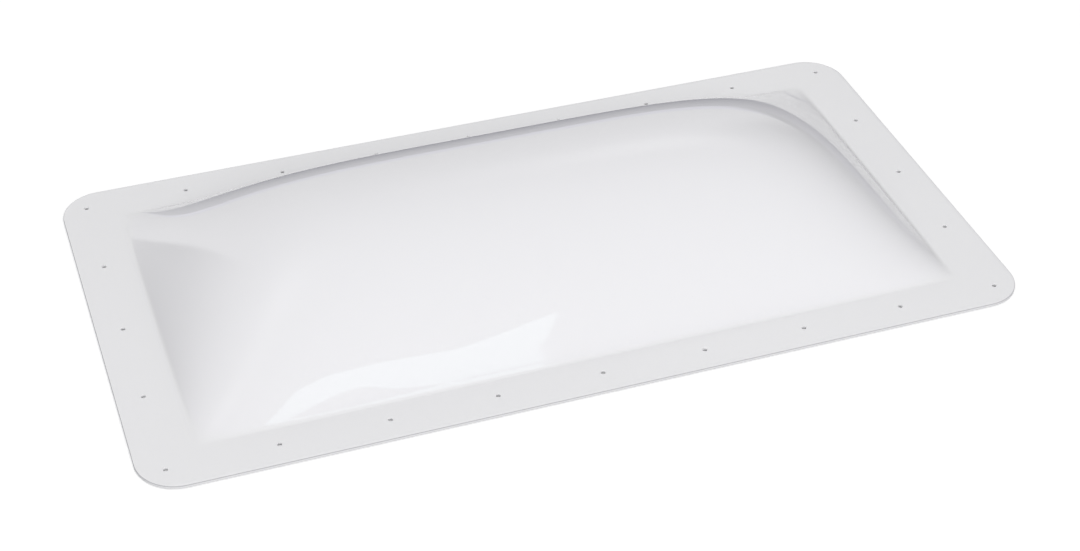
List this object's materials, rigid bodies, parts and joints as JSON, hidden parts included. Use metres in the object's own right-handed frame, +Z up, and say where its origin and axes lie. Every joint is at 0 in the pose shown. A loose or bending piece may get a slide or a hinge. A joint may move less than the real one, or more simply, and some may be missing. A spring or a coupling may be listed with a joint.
{
  "type": "rv skylight",
  "caption": "Rectangular one-piece rooflight: a hollow white dome with a flat drilled flange, for screwing down over a roof opening.",
  "frame": {"origin": "middle of the flange's underside, on the roof plane", "axes": "+Z up out of the roof, +X along the long side, +Y along the short side"},
  "size_m": [0.8636, 0.4572, 0.1016],
  "materials": {
    "opal_sheet": "gloss white translucent polycarbonate, formed from sheet"
  },
  "bodies": {
    "root": {"skylight_dome": "opal_sheet"}
  },
  "joints": []
}
